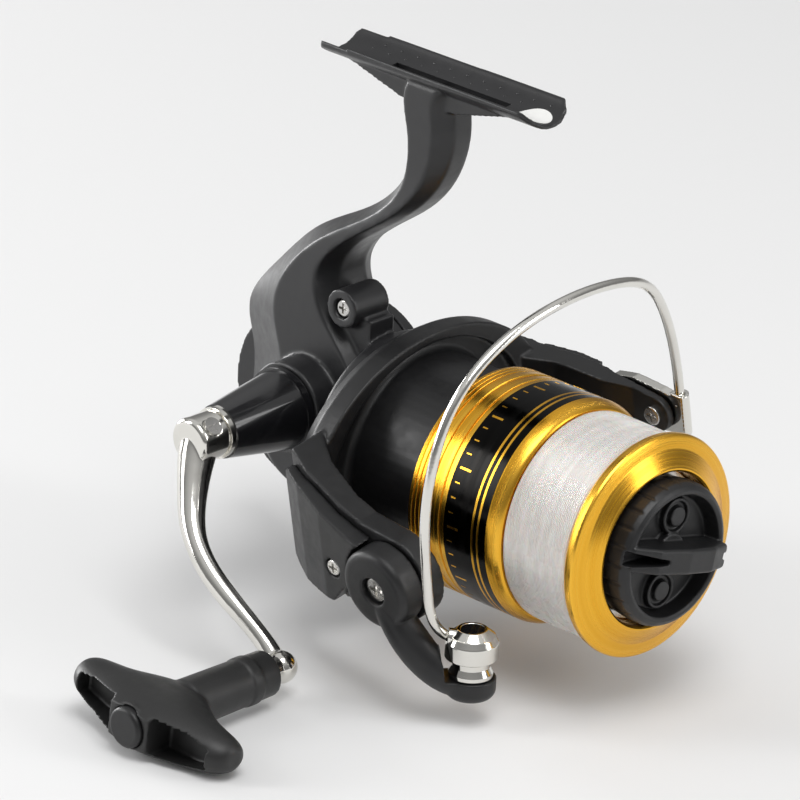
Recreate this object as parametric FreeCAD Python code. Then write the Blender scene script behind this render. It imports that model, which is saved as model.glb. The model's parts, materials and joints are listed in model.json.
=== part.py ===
"""Front-drag spinning reel, modelled as separate solids in millimetres.

Working axes: X runs forward along the main shaft, Y towards the far side (the crank is at -Y),
Z up towards the reel foot.  The working origin is the centre of the spool's front lip; every
solid is moved by SHIFT at export so that the origin sits on the axis of the foot's rod saddle.
"""
import FreeCAD, Part
import math
import os

V = FreeCAD.Vector
AX, AY, AZ = V(1, 0, 0), V(0, 1, 0), V(0, 0, 1)
ORIGIN = V(0, 0, 0)

# ---- driving dimensions -------------------------------------------------------------------
SADDLE_R = 8.0          # radius of the rod saddle on top of the foot
SADDLE_X = -62.5        # middle of the saddle's full-width stretch
FOOT_EDGE_Z = 90.5      # height of the foot's side edges above the main shaft
FOOT_REAR_X, FOOT_FRONT_X = -100.0, -35.0
FOOT_W_REAR, FOOT_W_FRONT = 13.2, 15.0
FOOT_T = 1.0            # thickness of the foot under the saddle
SADDLE_Z = FOOT_EDGE_Z + 4.5   # leaves the side edges sharp where they meet the saddle
SHIFT = V(-SADDLE_X, 0, -SADDLE_Z)

LIP_R = 25.5            # spool lip
SKIRT_R = 25.85         # spool skirt
SKIRT_REAR_X = -48.7
ARBOR_R = 17.0
LINE_R = 24.3
SHAFT_R = 1.55          # main shaft
SHAFT_BORE_R = 1.62     # bores that turn or slide on it

HANDLE_X, HANDLE_Z = -96.0, 6.2      # crank axis, parallel to Y
GEAR_TEETH, PINION_TEETH = 47, 9
OSC_DRIVER_TEETH, OSC_TEETH = 10, 28
OSC_X, OSC_Z = -106.6, -3.4          # oscillation gear axis, parallel to Y

ROTOR_TURN = 11.0       # rest angle of the rotor about X
PIVOT_X = -37.0         # bail pivot
ROLLER = V(-20.0, -37.7, -15.4)      # line roller centre, rotor axes
BALL = V(-56.0, -56.0, -31.3)        # knuckle at the crank's end
KNOB_TILT = 6.0         # rest tilt of the knob's crossbar


# ---- helpers --------------------------------------------------------------------------------
def cyl_x(x0, x1, r, y=0.0, z=0.0):
    return Part.makeCylinder(r, x1 - x0, V(x0, y, z), AX)


def cyl_y(y0, y1, r, x=0.0, z=0.0):
    return Part.makeCylinder(r, y1 - y0, V(x, y0, z), AY)


def ring_x(x0, x1, r_in, r_out):
    return cyl_x(x0, x1, r_out).cut(cyl_x(x0 - 1, x1 + 1, r_in))


def ring_y(y0, y1, r_in, r_out, x, z):
    return cyl_y(y0, y1, r_out, x, z).cut(cyl_y(y0 - 1, y1 + 1, r_in, x, z))


def box(x0, x1, y0, y1, z0, z1):
    return Part.makeBox(x1 - x0, y1 - y0, z1 - z0, V(x0, y0, z0))


def revolve_x(profile):
    """Solid of revolution about X from a closed list of (x, r)."""
    pts = [V(x, 0, r) for x, r in profile]
    face = Part.Face(Part.makePolygon(pts + [pts[0]]))
    return face.revolve(ORIGIN, AX, 360)


def prism_z(outline, z0, z1):
    pts = [V(x, y, z0) for x, y in outline]
    return Part.Face(Part.makePolygon(pts + [pts[0]])).extrude(V(0, 0, z1 - z0))


def prism_y(outline, y0, y1):
    """Prism along Y from a closed list of (x, z)."""
    pts = [V(x, y0, z) for x, z in outline]
    return Part.Face(Part.makePolygon(pts + [pts[0]])).extrude(V(0, y1 - y0, 0))


def prism_x(outline, x0, x1):
    """Prism along X from a closed list of (y, z)."""
    pts = [V(x0, y, z) for y, z in outline]
    return Part.Face(Part.makePolygon(pts + [pts[0]])).extrude(V(x1 - x0, 0, 0))


def fuse(shapes):
    return shapes[0].multiFuse(shapes[1:]).removeSplitter()


def turned(shape, angle, axis=AX, centre=ORIGIN):
    moved = shape.copy()
    moved.rotate(centre, axis, angle)
    return moved


def aim(shape, at, direction):
    """Place a shape modelled along +Z at the origin so that it points along direction."""
    moved = shape.copy()
    moved.Placement = FreeCAD.Placement(at, FreeCAD.Rotation(AZ, direction))
    return moved


def circle_wire(at, direction, r):
    return Part.Wire(Part.makeCircle(r, at, direction))


def swept_loft(stations):
    """Round-sectioned limb through (point, radius) stations."""
    pts = [V(*p) for p, _ in stations]
    wires = []
    for i, (_, r) in enumerate(stations):
        ahead = pts[min(i + 1, len(pts) - 1)]
        behind = pts[max(i - 1, 0)]
        wires.append(circle_wire(pts[i], ahead.sub(behind), r))
    return Part.makeLoft(wires, True, False)


def spur(teeth, r_root, r_tip, root_w, tip_w, height):
    """Straight-toothed gear along +Z from the origin, one tooth gap centred on +X."""
    pitch = 2 * math.pi / teeth
    pts = []
    for k in range(teeth):
        mid = (k + 0.5) * pitch
        for r, w, side in ((r_root, root_w, -1), (r_tip, tip_w, -1), (r_tip, tip_w, 1), (r_root, root_w, 1)):
            a = mid + side * w / 2 / r
            pts.append(V(r * math.cos(a), r * math.sin(a), 0))
    return Part.Face(Part.makePolygon(pts + [pts[0]])).extrude(V(0, 0, height))


def screw(head_r, head_h, shank_r, shank_l):
    """Cross-recessed screw; the head sits on z = 0 and the shank points to -Z."""
    head = Part.makeCylinder(head_r, head_h)
    head = head.makeFillet(head_h * 0.35, [head.Edges[0]])
    body = head.fuse(Part.makeCylinder(shank_r, shank_l, V(0, 0, -shank_l)))
    arm, depth = head_r * 0.62, head_h * 0.65
    width = head_r * 0.3
    for w, l in ((width, 2 * arm), (2 * arm, width)):
        body = body.cut(Part.makeBox(w, l, depth + 1, V(-w / 2, -l / 2, head_h - depth)))
    return body


def screw_at(at, direction, head_r=1.9, head_h=1.1, shank_r=0.95, shank_l=4.0):
    return aim(screw(head_r, head_h, shank_r, shank_l), at, direction)


# ---- fixed body: foot, stem and gear housing ------------------------------------------------
GEAR_ROOT_Y = 3.45      # face of the drive gear between its teeth
GEAR_TIP_Y = 2.45       # tips of its teeth
GEAR_R = 17.4
SIDE_Y = 8.3            # joint between the frame and the side cover
COVER_Y = 12.0          # outer face of the side cover
LOBE_X, LOBE_Z, LOBE_R = -107.6, 0.0, 21.0
FLANGE_X0, FLANGE_X1 = -80.4, -76.3  # front flange behind the rotor
FLANGE_R = 25.2
NOSE_R = 14.0
FIXING_X, FIXING_Z = -86.6, 31.0      # cross screw at the root of the stem
BOSS_Y = -17.0          # end of the crank-side boss
SLIDER_ROOM_X = -119.0  # rear wall of the slider's room
GUIDE_REAR_X, GUIDE_Z = -120.4, -7.5  # guide rod under the main shaft


def foot():
    """Curved foot plate, a strip of a thick saddle clipped to the foot's plan."""
    strip = cyl_x(FOOT_REAR_X, FOOT_FRONT_X, SADDLE_R + FOOT_T, 0, SADDLE_Z)
    half_r, half_f = FOOT_W_REAR / 2, FOOT_W_FRONT / 2
    plan = prism_z([(FOOT_REAR_X, -half_r + 1.2), (FOOT_REAR_X + 1.2, -half_r), (FOOT_FRONT_X - 3.5, -half_f),
                    (FOOT_FRONT_X - 1.0, -half_f + 2.0), (FOOT_FRONT_X, -half_f + 4.5),
                    (FOOT_FRONT_X, half_f - 4.5), (FOOT_FRONT_X - 1.0, half_f - 2.0),
                    (FOOT_FRONT_X - 3.5, half_f), (FOOT_REAR_X + 1.2, half_r), (FOOT_REAR_X, half_r - 1.2)],
                   SADDLE_Z - SADDLE_R - 3, FOOT_EDGE_Z)
    keel = prism_y([(-98.5, 88.6), (-84.0, 84.6), (-76.0, 82.5), (-60.0, 83.0), (-52.0, 85.0), (-37.5, 88.6)],
                   -4.2, 4.2)
    return strip.common(plan).fuse(keel)


def saddle_space():
    return cyl_x(FOOT_REAR_X - 5, FOOT_FRONT_X + 5, SADDLE_R, 0, SADDLE_Z)


# Stem and body stations: rear point, front point, half width, share of the rear and front bevels
STATIONS = [
    ((-75.0, 87.5), (-60.0, 87.5), 6.2, 0.16, 0.26),
    ((-75.2, 78.0), (-61.0, 79.0), 5.9, 0.16, 0.28),
    ((-76.6, 64.0), (-63.5, 67.5), 6.1, 0.30, 0.26),
    ((-86.0, 54.0), (-70.5, 58.0), 7.0, 0.45, 0.20),
    ((-102.6, 44.2), (-84.5, 47.5), 8.4, 0.47, 0.14),
    ((-114.6, 32.8), (-93.0, 37.5), 9.2, 0.45, 0.12),
    ((-123.4, 21.8), (-90.0, 28.5), 9.6, 0.46, 0.10),
    ((-122.8, 11.5), (-80.5, 16.0), 9.8, 0.42, 0.06),
    ((-122.6, -2.0), (-79.0, -2.0), 9.8, 0.34, 0.05),
    ((-118.0, -14.0), (-79.0, -16.0), 9.4, 0.36, 0.06),
    ((-104.0, -21.5), (-79.4, -23.0), 7.4, 0.40, 0.10),
]


def station_wire(rear, front, half, bevel_r, bevel_f):
    def at(t, y):
        return V(rear[0] + t * (front[0] - rear[0]), y, rear[1] + t * (front[1] - rear[1]))
    ring = [at(0, -1.2), at(bevel_r, -half), at(1 - bevel_f, -half), at(1, -half * 0.45),
            at(1, half * 0.45), at(1 - bevel_f, half), at(bevel_r, half), at(0, 1.2)]
    return Part.makePolygon(ring + [ring[0]])


def body_frame():
    core = Part.makeLoft([station_wire(*s) for s in STATIONS], True, False)
    core = core.cut(box(FLANGE_X0 + 1.5, -60, -15, 15, -40, 14))
    lobe = cyl_y(0, SIDE_Y, LOBE_R, LOBE_X, LOBE_Z)
    gear_pad = cyl_y(0, SIDE_Y, GEAR_R + 2.2, HANDLE_X, HANDLE_Z)
    flange = cyl_x(FLANGE_X0, FLANGE_X1, FLANGE_R)
    flange = flange.makeFillet(1.5, [flange.Edges[2]])
    nose = cyl_x(FLANGE_X1 - 1, -62.5, NOSE_R)
    boss = cyl_y(BOSS_Y, 0, 10.6, HANDLE_X, HANDLE_Z)
    screw_boss = cyl_y(-9.8, 1.0, 4.5, FIXING_X, FIXING_Z)
    bridge = box(-94, -80.5, -6.5, 1.0, 18, 29)
    shape = fuse([core, foot(), lobe, gear_pad, flange, nose, boss, screw_boss, bridge])
    room = [saddle_space(),
            cyl_y(2.1, SIDE_Y + 6, GEAR_R + 0.6, HANDLE_X, HANDLE_Z),          # drive gear
            box(SLIDER_ROOM_X, -78.3, -3.0, 2.35, -10.2, 3.1),                 # slider and main shaft
            cyl_y(-7.2, -2.9, 11.4, OSC_X, OSC_Z),                             # oscillation gear
            cyl_y(-7.2, -2.9, 5.2, HANDLE_X, HANDLE_Z),                        # its driver
            cyl_y(BOSS_Y - 1, 4, 3.55, HANDLE_X, HANDLE_Z),                    # gear shaft
            cyl_y(BOSS_Y - 1, -11.9, 6.5, HANDLE_X, HANDLE_Z),                 # near bearing
            cyl_x(-83.4, -76.0, 4.1),                                          # pinion
            cyl_x(-76.2, -60.0, 8.0),                                          # pinion bearing and clutch
            cyl_y(-10.5, 2.0, 1.2, FIXING_X, FIXING_Z),                               # cover screw bores
            cyl_y(-13, -8.0, 2.3, FIXING_X, FIXING_Z),
            cyl_y(-9.0, -7.0, 1.35, OSC_X, OSC_Z)]                             # its axle
    room.append(cyl_x(GUIDE_REAR_X, -78.2, 1.15, 0, GUIDE_Z))
    for cut in room:
        shape = shape.cut(cut)
    return shape.cut(box(-140, -60, SIDE_Y, 40, -40, 60).cut(cyl_x(FLANGE_X0, -60, 40))).Solids[0]


def side_cover():
    lobe = cyl_y(SIDE_Y, COVER_Y, LOBE_R, LOBE_X, LOBE_Z)
    lobe = lobe.makeFillet(2.4, [e for e in lobe.Edges if abs(e.BoundBox.YMin - COVER_Y) < 0.01 and e.Closed])
    pad = cyl_y(SIDE_Y, COVER_Y - 0.6, GEAR_R + 2.2, HANDLE_X, HANDLE_Z)
    boss = cyl_y(SIDE_Y, COVER_Y + 2.0, 9.6, HANDLE_X, HANDLE_Z)
    shape = fuse([lobe, pad, boss]).cut(box(FLANGE_X0, -60, 0, 30, -40, 40))
    shape = shape.cut(cyl_y(SIDE_Y - 1, COVER_Y - 1.4, 6.5, HANDLE_X, HANDLE_Z))
    shape = shape.cut(cyl_y(SIDE_Y - 1, COVER_Y + 6, 3.55, HANDLE_X, HANDLE_Z))
    for x, z in COVER_SCREWS:
        shape = shape.cut(cyl_y(SIDE_Y - 1, COVER_Y + 1, 1.1, x, z))
        shape = shape.cut(cyl_y(COVER_Y - 1.8, COVER_Y + 3, 2.3, x, z))
    return shape


COVER_SCREWS = ((-125.5, 3.0), (-113.0, -16.5), (-86.0, -7.5), (-99.0, 22.3))


def bearing(axis_ring, a0, a1, r_in, r_out, place):
    """Ball bearing: two rings and a shield between them, as one plain solid per ring."""
    inner = axis_ring(a0, a1, r_in, r_in + (r_out - r_in) * 0.3, *place)
    outer = axis_ring(a0, a1, r_out - (r_out - r_in) * 0.3, r_out, *place)
    return inner, outer


# ---- drive train ----------------------------------------------------------------------------
TOOTH_IN, TOOTH_OUT = 13.2, 15.8     # reach of the gear teeth ahead of the crank axis
TOOTH_MID = 14.5
TOOTH_ROOT_W, TOOTH_TIP_W = 0.64, 0.34
PINION_X0, PINION_X1 = -83.0, -79.2
SLIDER_X = -99.5        # block on the rear of the main shaft


def face_tooth():
    """Tooth lying along X at the height of the main shaft, wider towards its outer end."""
    ends = []
    for reach in (TOOTH_IN, TOOTH_OUT):
        scale = reach / TOOTH_MID
        x = HANDLE_X + reach
        ends.append([V(x, GEAR_ROOT_Y + 0.3, -TOOTH_ROOT_W * scale / 2), V(x, GEAR_TIP_Y, -TOOTH_TIP_W * scale / 2),
                     V(x, GEAR_TIP_Y, TOOTH_TIP_W * scale / 2), V(x, GEAR_ROOT_Y + 0.3, TOOTH_ROOT_W * scale / 2)])
    wires = [Part.makePolygon(ring + [ring[0]]) for ring in ends]
    return Part.makeLoft(wires, True, True)


def drive_gear():
    centre = V(HANDLE_X, 0, HANDLE_Z)
    disc = ring_y(GEAR_ROOT_Y, 6.2, 3.0, GEAR_R, HANDLE_X, HANDLE_Z)
    rim_relief = ring_y(4.9, 7.0, 6.5, 12.0, HANDLE_X, HANDLE_Z)
    hub = cyl_y(-15.6, 11.0, 3.2, HANDLE_X, HANDLE_Z)
    teeth = [turned(face_tooth(), k * 360.0 / GEAR_TEETH, AY, centre) for k in range(GEAR_TEETH)]
    gear = disc.cut(rim_relief).multiFuse(teeth + [hub])
    driver = spur(OSC_DRIVER_TEETH, 3.0, 4.7, 1.3, 0.6, 2.6)
    driver = aim_y(driver, -6.2, HANDLE_X, HANDLE_Z, driver_phase())
    gear = gear.fuse(driver)
    return gear.cut(cyl_y(-20, 12, 1.9, HANDLE_X, HANDLE_Z)).removeSplitter()


def aim_y(shape, y0, x, z, phase):
    """Stand a +Z shape up along +Y with its +X spoke pointing at phase degrees from +X towards -Z."""
    moved = shape.copy()
    moved.rotate(ORIGIN, AX, -90)
    moved.rotate(ORIGIN, AY, phase)
    moved.translate(V(x, y0, z))
    return moved


def line_of_centres():
    """Angle, in the sense of a turn about +Y, of the oscillation gear seen from the crank axis."""
    return math.degrees(math.atan2(-(OSC_Z - HANDLE_Z), OSC_X - HANDLE_X))


def driver_phase():
    return line_of_centres()


def osc_gear():
    """Oscillation gear with a tooth facing its driver and an eccentric pin on the inner side."""
    half_pitch = 180.0 / OSC_TEETH
    gear = spur(OSC_TEETH, 9.3, 11.0, 1.3, 0.6, 2.4)
    gear = aim_y(gear, -6.1, OSC_X, OSC_Z, line_of_centres() + 180 + half_pitch)
    pin = cyl_y(-3.8, -3.3, 1.3, OSC_X + 8.4, OSC_Z)
    axle_hole = cyl_y(-9, -2, 1.4, OSC_X, OSC_Z)
    return gear.fuse(pin).cut(axle_hole)


def pinion():
    teeth = spur(PINION_TEETH, 2.3, 3.25, 0.80, 0.34, PINION_X1 - PINION_X0)
    teeth.rotate(ORIGIN, AY, 90)
    teeth.rotate(ORIGIN, AX, 90)
    teeth.translate(V(PINION_X0, 0, 0))
    collar = cyl_x(PINION_X1, -76.4, 3.0)
    journal = cyl_x(-76.4, -60.6, 3.4)
    seat = cyl_x(-60.6, -51.0, 2.7)
    shape = fuse([teeth, collar, journal, seat])
    flats = box(-60.6, -50, 2.2, 5, -5, 5).fuse(box(-60.6, -50, -5, -2.2, -5, 5))
    return shape.cut(flats).cut(cyl_x(-90, -50, SHAFT_BORE_R))


# ---- rotor ------------------------------------------------------------------------------------
YOKE_W, YOKE_H = 37.3, 28.6          # half width across the arms and half height of the rotor's base
YOKE_X0, YOKE_X1 = -75.6, -67.0
DRUM_R = 23.3
NEAR_FACE = -42.2       # outer face of the near arm at the bail pivot
FAR_IN, FAR_OUT = 41.2, 43.2         # faces of the far arm at its tip
FAR_NOSE_R = 4.4
SPRING_W, SPRING_H = -37.6, 1.0      # axis of the bail spring inside the near arm
SPRING_X0, SPRING_X1 = -66.4, -56.8  # ends of its room


def oval_x(x0, x1, half_w, half_h):
    """Elliptical cylinder along X, long across the arms."""
    ring = Part.Ellipse(V(x0, half_w, 0), V(x0, 0, half_h), V(x0, 0, 0))
    return Part.Face(Part.Wire(ring.toShape())).extrude(V(x1 - x0, 0, 0))


def oval_bevel(x0, x1, w0, h0, w1, h1):
    rings = [Part.Wire(Part.Ellipse(V(x, w, 0), V(x, 0, h), V(x, 0, 0)).toShape())
             for x, w, h in ((x0, w0, h0), (x1, w1, h1))]
    return Part.makeLoft(rings, True, True)


def arm(outer, inner, outline, side):
    """Rotor arm: a slab between two (x, w) lines, trimmed to a closed (x, h) outline."""
    plan = [(x, side * w) for x, w in outer] + [(x, side * w) for x, w in reversed(inner)]
    y0, y1 = (5, 60) if side > 0 else (-60, -5)
    nose_r = max(h for x, h in outline if x == PIVOT_X)
    trim = prism_y(outline, y0, y1).fuse(cyl_y(y0, y1, nose_r, PIVOT_X, 0))
    return prism_z(plan, -40, 40).common(trim)


NEAR_OUTER = ((YOKE_X0, 30), (-74.6, 33.5), (-70.5, 37.4), (-63.5, 40.4), (-52.0, 42.2), (-25.0, 42.2))
NEAR_SIDE = ((-75.6, -7), (-70.0, -9.6), (-62.0, -10.8), (PIVOT_X, -10.2), (PIVOT_X, 10.2), (-46.0, 11.0),
             (-63.0, 17.0), (-70.0, 19.0), (-75.6, 14.0))
FAR_OUTER = ((YOKE_X0, 30), (-74.6, 33.5), (-69.0, 37.6), (-60.0, 41.0), (-52.0, FAR_OUT), (-25.0, FAR_OUT))
FAR_SIDE = ((-75.6, -14), (-68.0, -11), (-56.0, -7.6), (PIVOT_X, -FAR_NOSE_R), (PIVOT_X, FAR_NOSE_R),
            (-50.0, 5.8), (-58.0, 8.0), (-68.0, 10.0), (-75.6, 14))


def rotor_base():
    base = oval_bevel(YOKE_X0, -72.0, YOKE_W - 2.5, YOKE_H - 2.2, YOKE_W, YOKE_H)
    return base.fuse(oval_x(-72.0, YOKE_X1, YOKE_W, YOKE_H))


def rotor():
    base = rotor_base()
    near = arm(NEAR_OUTER, ((YOKE_X0, 24), (-70.0, 25), (-69.0, 29.0), (-62.0, 33.6), (-52.0, 36.4), (-25.0, 37.0)),
               NEAR_SIDE, -1)
    far = arm(FAR_OUTER, ((YOKE_X0, 24), (-70.0, 25), (-68.5, 29.5), (-61.0, 35.0), (-50.0, 38.6), (-43.0, FAR_IN),
                          (-25.0, FAR_IN)), FAR_SIDE, 1)
    shape = fuse([base, near, far])
    well = oval_x(-69.6, YOKE_X1 + 1, 30.6, 26.2).fuse(cyl_x(-80, -69, 20))
    shape = shape.cut(well)
    drum = revolve_x([(-75.6, 17.0), (-75.6, 24.0), (-69.6, 24.4), (-68.6, DRUM_R), (-47.0, DRUM_R - 0.2),
                      (-46.0, DRUM_R - 1.2), (-46.0, 12.0), (-54.5, 11.0), (-54.5, 2.75), (-59.8, 2.75),
                      (-59.8, 20.5), (-72.0, 20.5), (-74.0, 17.0)])
    shape = shape.fuse(drum).cut(revolve_x([(-80, 0), (-80, 17.0), (-74.0, 17.0), (-72.0, 20.5), (-61, 20.5), (-61, 0)]))
    shape = shape.cut(cyl_y(-60, -30, 1.0, PIVOT_X, 0))
    shape = shape.cut(cyl_y(30, 60, 1.0, PIVOT_X, 0))
    spring_room = box(SPRING_X0, SPRING_X1, -50, SPRING_W, SPRING_H - 1.5, SPRING_H + 1.5)
    shape = shape.cut(spring_room.fuse(cyl_x(SPRING_X0, SPRING_X1, 1.5, SPRING_W, SPRING_H)))
    for at, direction in COVER_FIXINGS:
        shape = shape.cut(aim(Part.makeCylinder(0.95, 6, V(0, 0, -6)), at, direction))
    return shape.removeSplitter()


def near_cover():
    """Shell over the near arm, with a round clearance for the bail arm's hub."""
    outer = [(-77.0, -31.5), (-76.2, -34.6), (-70.6, -39.8), (-63.5, -43.5), (-55.0, -45.9), (-44.0, -46.9),
             (-25.0, -46.9)]
    inner = [(-77.0, -30.0)] + [(x, -w) for x, w in NEAR_OUTER]
    slab = prism_z(outer + inner[::-1], -30, 30)
    trim = prism_y([(-77.5, -2.0), (-73.0, -6.4), (-68.0, -8.8), (-61.0, -9.8), (-53.0, -9.8), (-48.2, -4.2),
                    (PIVOT_X, -4.2), (PIVOT_X, 7.0), (-46.0, 9.2), (-62.0, 15.0), (-69.0, 15.6), (-74.5, 11.5), (-77.5, 6.0)],
                   -60, -20)
    shell = slab.common(trim).cut(cyl_y(-60, -20, 10.0, PIVOT_X, 0)).cut(rotor_base())
    shell = shell.cut(cyl_y(-60, -20, 1.0, NEAR_SCREW_X, NEAR_SCREW_H))
    shell = shell.cut(cyl_y(-60, -44.9, 2.3, NEAR_SCREW_X, NEAR_SCREW_H))
    return max(shell.Solids, key=lambda s: s.Volume)


NEAR_SCREW_X, NEAR_SCREW_H = -51.9, -0.8
FAR_SCREW_X = -62.0
COVER_FIXINGS = ((V(NEAR_SCREW_X, -44.95, NEAR_SCREW_H), V(0, -1, 0)), (V(FAR_SCREW_X, 43.6, 0), V(0, 1, 0)))


def far_cover():
    outer = [(-77.0, 31.5), (-76.2, 34.6), (-70.0, 39.8), (-61.0, 44.0), (-55.5, 45.2), (-52.0, 45.6)]
    inner = [(-77.0, 30.0)] + list(FAR_OUTER[:-1])
    slab = prism_z(outer + inner[::-1], -30, 30)
    trim = prism_y([(-77.5, -7), (-68.0, -9.6), (-55.5, -6.4), (-55.5, 5.6), (-60, 6.6), (-68.0, 8.4),
                    (-77.5, 6)], 20, 60)
    cover = slab.common(trim).cut(rotor_base())
    cover = cover.cut(cyl_y(20, 60, 1.0, FAR_SCREW_X, 0)).cut(cyl_y(43.6, 60, 2.3, FAR_SCREW_X, 0))
    return max(cover.Solids, key=lambda s: s.Volume)


# ---- bail -------------------------------------------------------------------------------------
ROLLER_AXIS = V(0, math.sin(math.radians(ROTOR_TURN)), math.cos(math.radians(ROTOR_TURN)))
WIRE_R = 1.15
HUB_FLOOR = -46.2       # floor of the screw recess in the bail arm's hub
WIRE_PATH = ((-23.4, -41.0, -10.2), (-23.0, -45.0, -4.0), (-21.6, -46.8, 7.0), (-21.0, -46.3, 20.3), (-21.0, -42.3, 33.2),
             (-20.6, -33.5, 46.1), (-20.0, -19.8, 53.2), (-19.6, -1.5, 54.8), (-20.6, 15.0, 51.3),
             (-22.5, 26.1, 45.8), (-26.0, 35.0, 36.0), (-29.6, 41.6, 21.3), (-31.8, 44.6, 10.0), (-32.0, 44.8, 2.0))


def along_roller(t):
    return ROLLER.add(ROLLER_AXIS * t)


def roller_disc(t0, t1, r0, r1=None):
    if r1 is None:
        return Part.makeCylinder(r0, t1 - t0, along_roller(t0), ROLLER_AXIS)
    return Part.makeCone(r0, r1, t1 - t0, along_roller(t0), ROLLER_AXIS)


def bail_arm():
    hub = cyl_y(-48.9, NEAR_FACE - 0.35, 9.3, PIVOT_X, 0)
    hub = hub.makeFillet(1.8, [e for e in hub.Edges if abs(e.BoundBox.YMax + 48.9) < 0.01 and e.Closed])
    limb = swept_loft([((-37.5, -45.5, -2.0), 3.0), ((-31.8, -45.9, -9.0), 4.1), ((-26.8, -44.9, -15.2), 4.2),
                       ((-22.8, -42.0, -19.6), 4.2), ((-20.2, -38.6, -21.4), 4.0)])
    cup = roller_disc(-9.9, -4.9, 5.6)
    cup = cup.makeFillet(2.2, [cup.Edges[2]])
    shape = fuse([hub, limb, cup])
    shape = shape.cut(roller_disc(-5.0, 8, 7.2))
    shape = shape.cut(roller_disc(-8.9, 0, 1.55))
    shape = shape.cut(cyl_y(-60, -30, 1.5, PIVOT_X, 0))
    shape = shape.cut(cyl_y(-60, HUB_FLOOR, 3.3, PIVOT_X, 0))
    keep_off_arm = cyl_y(NEAR_FACE - 0.35, -20, 17.0, PIVOT_X, 0)
    return max(shape.cut(keep_off_arm).Solids, key=lambda s: s.Volume)


def bail_wire():
    curve = Part.BSplineCurve()
    curve.interpolate([V(*p) for p in WIRE_PATH])
    path = Part.Wire(curve.toShape())
    start = circle_wire(V(*WIRE_PATH[0]), curve.tangent(curve.FirstParameter)[0], WIRE_R)
    return path.makePipeShell([start], True, True)


def roller_cap():
    """Conical cap that carries the wire and closes the roller's axle."""
    skirt = roller_disc(-0.4, 3.3, 5.9).cut(roller_disc(-1, 2.75, 5.3))
    shape = fuse([skirt, roller_disc(3.3, 4.8, 5.9, 5.1), roller_disc(4.8, 6.2, 5.1, 3.3)])
    spigot = Part.makeCylinder(1.9, 4.4, V(-23.4, -41.0, -10.2), V(3.4, 3.3, -1.2))
    shape = shape.fuse(spigot.cut(roller_disc(-4, 2.75, 9))).cut(bail_wire())
    shape = shape.cut(roller_disc(5.7, 7, 2.6)).cut(roller_disc(1, 4.9, 1.55))
    return max(shape.Solids, key=lambda s: s.Volume)


def far_holder():
    """Lever on the outside of the far arm's tip, with a leaf behind and a socket for the wire's end."""
    y0, y1 = FAR_OUT + 0.35, FAR_OUT + 2.7
    hub = cyl_y(y0, y1, 5.2, PIVOT_X, 0)
    leaf = prism_y([(-36.0, -5.1), (-32.0, -4.6), (-32.0, 4.4), (-36.0, 5.1), (-45.0, 5.8), (-51.0, 4.6),
                    (-53.2, 1.4), (-51.6, -1.6), (-45.0, -3.8)], y0, y1)
    socket = Part.makeCylinder(2.2, 10.2, V(-32.0, 44.8, -4.8), AZ)
    shape = fuse([hub, leaf, socket])
    shape = shape.cut(bail_wire())
    shape = shape.cut(box(-60, -20, 30, FAR_OUT + 0.35, -20, 20))
    shape = shape.cut(cyl_y(40, 60, 1.5, PIVOT_X, 0))
    return max(shape.Solids, key=lambda s: s.Volume)


def bail_spring():
    helix = Part.makeLongHelix(1.4, 8.4, 1.1, 0)
    coil = Part.Wire(helix).makePipeShell([circle_wire(V(1.1, 0, 0), V(0, 1, 0.2), 0.25)], True, True)
    coil.rotate(ORIGIN, AY, 90)
    coil.translate(V(SPRING_X0 + 0.6, SPRING_W, SPRING_H))
    return coil


# ---- spool and drag ---------------------------------------------------------------------------
BAND_X0, BAND_X1 = -37.6, -25.4
BAND_DEPTH = 0.4
STRIPES = (-29.2, -27.6)
SPOOL_BORE_R = 4.0


def spool():
    skirt = [(SKIRT_REAR_X, SKIRT_R - 1.1), (SKIRT_REAR_X, SKIRT_R - 0.2), (-48.2, SKIRT_R),
             (BAND_X0, SKIRT_R), (BAND_X0, SKIRT_R - BAND_DEPTH), (BAND_X1, SKIRT_R - BAND_DEPTH),
             (BAND_X1, SKIRT_R), (-22.6, 24.9), (-21.9, 24.3)]
    arbor = [(-21.9, ARBOR_R), (-3.2, ARBOR_R)]
    lip = [(-3.2, 24.0), (-2.2, 25.3), (-0.8, LIP_R), (0.0, LIP_R - 0.3), (0.35, 22.2), (0.75, 21.8),
           (2.1, 18.6), (2.3, 18.0), (1.6, 17.4)]
    drag_room = [(-9.0, 17.0), (-9.0, SPOOL_BORE_R)]
    hub = [(-27.5, SPOOL_BORE_R), (-27.5, 7.5), (-24.6, 7.5)]
    inside = [(-24.6, 23.4), (-26.4, SKIRT_R - 1.3)]
    return revolve_x(skirt + arbor + lip + drag_room + hub + inside)


def line_fill():
    return revolve_x([(-21.8, ARBOR_R), (-21.8, LINE_R - 0.6), (-20.6, LINE_R), (-4.4, LINE_R + 0.1), (-3.3, LINE_R - 0.5),
                      (-3.3, ARBOR_R)])


def spool_band():
    band = revolve_x([(BAND_X0, SKIRT_R - BAND_DEPTH), (BAND_X0, SKIRT_R), (BAND_X1, SKIRT_R),
                      (BAND_X1, SKIRT_R - BAND_DEPTH)])
    for x in STRIPES:
        band = band.cut(ring_x(x - 0.3, x + 0.3, SKIRT_R - 0.15, SKIRT_R + 1))
    return band


def stripe(x):
    return ring_x(x - 0.3, x + 0.3, SKIRT_R - 0.15, SKIRT_R + 0.02)


def lugged_washer(x0, x1, r_in, r_out, lugs):
    shape = ring_x(x0, x1, r_in, r_out)
    for k in range(lugs):
        lug = box(x0, x1, -1.2, 1.2, r_out - 1.0, r_out + 1.0)
        shape = shape.fuse(turned(lug, k * 360.0 / lugs))
    return shape.removeSplitter()


KNOB_R = 16.4
DIAL_TURN = -13.5       # rest angle of the cross bar


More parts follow.
